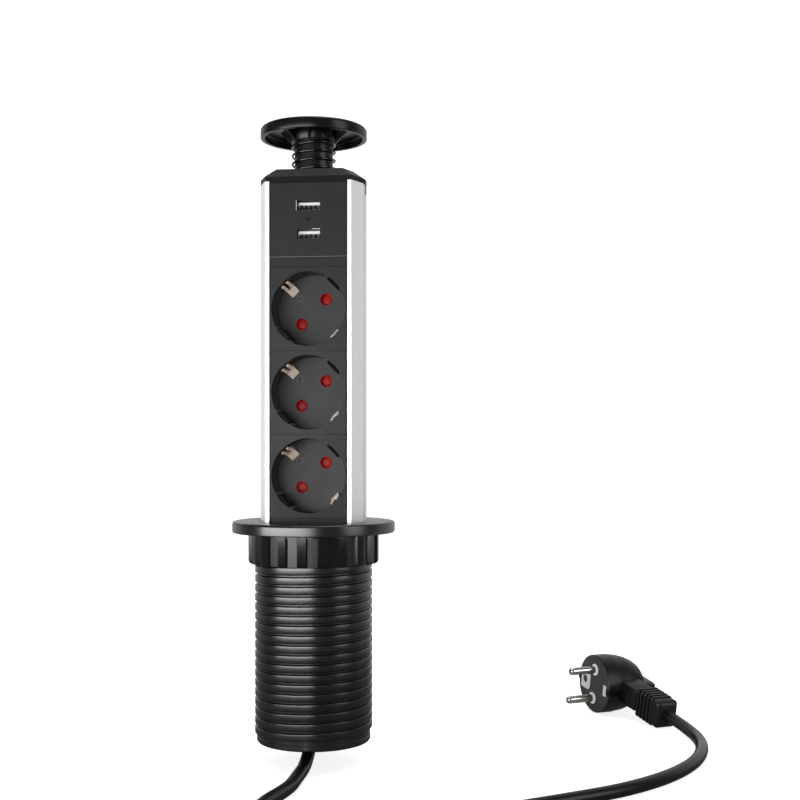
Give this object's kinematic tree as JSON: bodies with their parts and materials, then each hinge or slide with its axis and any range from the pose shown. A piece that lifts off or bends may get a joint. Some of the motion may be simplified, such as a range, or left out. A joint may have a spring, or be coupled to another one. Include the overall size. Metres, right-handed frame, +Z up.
{
  "type": "pop up desk socket",
  "caption": "Round worktop column that slides up through a flanged sleeve, with earthed sockets and USB charging ports on its flat face, a sprung push cap, a clamp nut and a plugged cord.",
  "frame": {"origin": "centre of the flange's underside, where it lies on the worktop", "axes": "+Z up along the column's travel, sockets face -Y, +X to the right of the sockets"},
  "size_m": [0.2606, 0.3837, 0.3445],
  "materials": {
    "black_moulding": "satin, fine moulded",
    "seal_rubber": "matte",
    "nut_plastic": "satin",
    "anodised": "satin anodised",
    "face_plastic": "semi gloss",
    "insert_plastic": "satin",
    "shutter_red": "satin",
    "earth_metal": "bright, copper coloured",
    "contact_brass": "bright",
    "housing_plastic": "matte white",
    "insulation": "matte sheet",
    "shell_metal": "nickel plated",
    "tongue_white": "matte",
    "board_green": "satin resin board",
    "converter": "taped windings and black parts",
    "lens_clear": "clear",
    "wire_pvc": "matte",
    "screw_steel": "zinc plated",
    "spring_steel": "dark drawn wire",
    "cord_pvc": "satin flexible",
    "pin_nickel": "nickel plated"
  },
  "bodies": {
    "worktop_fitting": {"mounting_sleeve": "black_moulding", "flange_seal": "seal_rubber", "cord_front": "cord_pvc", "cord_coil": "cord_pvc", "cord_lead": "cord_pvc", "plug_body": "cord_pvc", "plug_pins": "pin_nickel", "plug_earth_strip": "pin_nickel", "plug_strain_relief": "cord_pvc"},
    "washer": {"slip_washer": "black_moulding"},
    "nut": {"ring_nut": "nut_plastic"},
    "column": {"column_profile": "anodised", "top_end_cap": "black_moulding", "bottom_end_cap": "black_moulding", "top_screws": "screw_steel", "bottom_screws": "screw_steel", "usb_fascia": "face_plastic", "spacer_strip": "face_plastic", "lower_blank": "face_plastic", "busbar_line": "contact_brass", "busbar_neutral": "contact_brass", "busbar_earth": "contact_brass", "rear_insulator": "insulation", "usb_port_upper": "shell_metal", "usb_port_lower": "shell_metal", "usb_tongues": "tongue_white", "usb_board": "board_green", "usb_converter": "converter", "led_lens": "lens_clear", "supply_wires": "wire_pvc", "usb_wires": "wire_pvc", "cable_gland": "cord_pvc", "gland_nut": "black_moulding", "stem_retainer": "screw_steel", "cap_spring": "spring_steel", "cord_tail": "cord_pvc", "socket_insert_1": "insert_plastic", "earth_clip_1": "earth_metal", "pin_contacts_1": "contact_brass", "socket_back_1": "housing_plastic", "socket_insert_2": "insert_plastic", "earth_clip_2": "earth_metal", "pin_contacts_2": "contact_brass", "socket_back_2": "housing_plastic", "socket_insert_3": "insert_plastic", "earth_clip_3": "earth_metal", "pin_contacts_3": "contact_brass", "socket_back_3": "housing_plastic"},
    "push_cap": {"cap_disc": "black_moulding", "cap_stem": "black_moulding"},
    "shutter_1": {"shutter_1": "shutter_red"},
    "shutter_2": {"shutter_2": "shutter_red"},
    "shutter_3": {"shutter_3": "shutter_red"}
  },
  "joints": [
    {"name": "column_slide", "type": "slide", "parent": "worktop_fitting", "child": "column", "axis": [0, 0, 1], "range_m": [-0.2, 0]},
    {"name": "cap_press", "type": "slide", "parent": "column", "child": "push_cap", "axis": [0, 0, 1], "range_m": [-0.012, 0], "stiffness_N_per_m": 250, "springref_m": 0.01, "deforming": ["cap_spring"]},
    {"name": "washer_travel", "type": "slide", "parent": "worktop_fitting", "child": "washer", "axis": [0, 0, 1], "range_m": [-0.0905, 0]},
    {"name": "nut_turn", "type": "hinge", "parent": "washer", "child": "nut", "pos_m": [0, 0, -0.0086], "axis": [0, 0, 1], "range_deg": [-6350, 0]},
    {"name": "shutter_1_turn", "type": "hinge", "parent": "column", "child": "shutter_1", "pos_m": [0, 0.0043, 0.0308], "axis": [0, 1, 0], "range_deg": [0, 45], "stiffness_Nm_per_rad": 0.002, "springref_deg": -22.92},
    {"name": "shutter_2_turn", "type": "hinge", "parent": "column", "child": "shutter_2", "pos_m": [0, 0.0043, 0.0753], "axis": [0, 1, 0], "range_deg": [0, 45], "stiffness_Nm_per_rad": 0.002, "springref_deg": -22.92},
    {"name": "shutter_3_turn", "type": "hinge", "parent": "column", "child": "shutter_3", "pos_m": [0, 0.0043, 0.1198], "axis": [0, 1, 0], "range_deg": [0, 45], "stiffness_Nm_per_rad": 0.002, "springref_deg": -22.92}
  ],
  "couplings": [
    {"joint": "washer_travel", "follows": "nut_turn", "m_per_rad": 0.000812}
  ]
}
